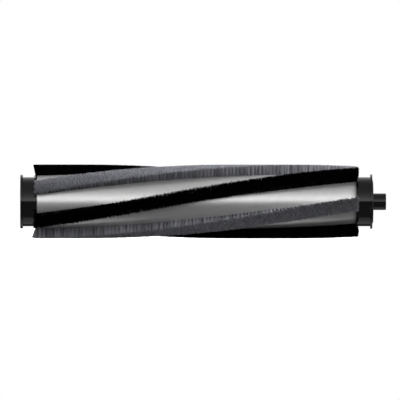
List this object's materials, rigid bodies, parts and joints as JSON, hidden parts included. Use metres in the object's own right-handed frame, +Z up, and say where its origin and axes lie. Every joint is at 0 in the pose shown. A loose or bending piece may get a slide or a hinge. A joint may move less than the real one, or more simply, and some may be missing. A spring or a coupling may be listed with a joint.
{
  "type": "vacuum roller brush",
  "caption": "Vacuum floor-head roller brush: twisted metal tube with helical black and grey bristle strips in T-slots, drive-socket cap at one end, axle stub at the other.",
  "frame": {"origin": "on the spin axis, at the middle of the overall length from the drive end's face to the stub's tip", "axes": "+X along the spin axis towards the axle stub, +Z up as the picture shows it, -Y towards the viewer"},
  "size_m": [0.23, 0.0464, 0.0464],
  "materials": {
    "tube_metal": "satin",
    "cap_plastic": "gloss",
    "black_bristle": "matte",
    "grey_bristle": "matte",
    "strip_backing": "matte",
    "bush_bronze": "satin",
    "seal_felt": "matte",
    "axle_steel": "satin"
  },
  "bodies": {
    "axle": {"axle_stub": "cap_plastic", "axle_pin": "axle_steel", "thrust_washer": "axle_steel", "retaining_clip": "axle_steel"},
    "roller": {"roller_tube": "tube_metal", "black_backing_1": "strip_backing", "black_backing_2": "strip_backing", "black_backing_3": "strip_backing", "grey_backing_1": "strip_backing", "grey_backing_2": "strip_backing", "grey_backing_3": "strip_backing", "black_pile_1": "black_bristle", "black_pile_2": "black_bristle", "black_pile_3": "black_bristle", "grey_pile_1": "grey_bristle", "grey_pile_2": "grey_bristle", "grey_pile_3": "grey_bristle", "drive_end_cap": "cap_plastic", "bearing_end_cap": "cap_plastic", "bearing_bush": "bush_bronze", "felt_ring": "seal_felt"}
  },
  "joints": [
    {"name": "roller_spin", "type": "hinge", "parent": "axle", "child": "roller", "pos_m": [0, 0, 0], "axis": [1, 0, 0], "continuous": true}
  ]
}
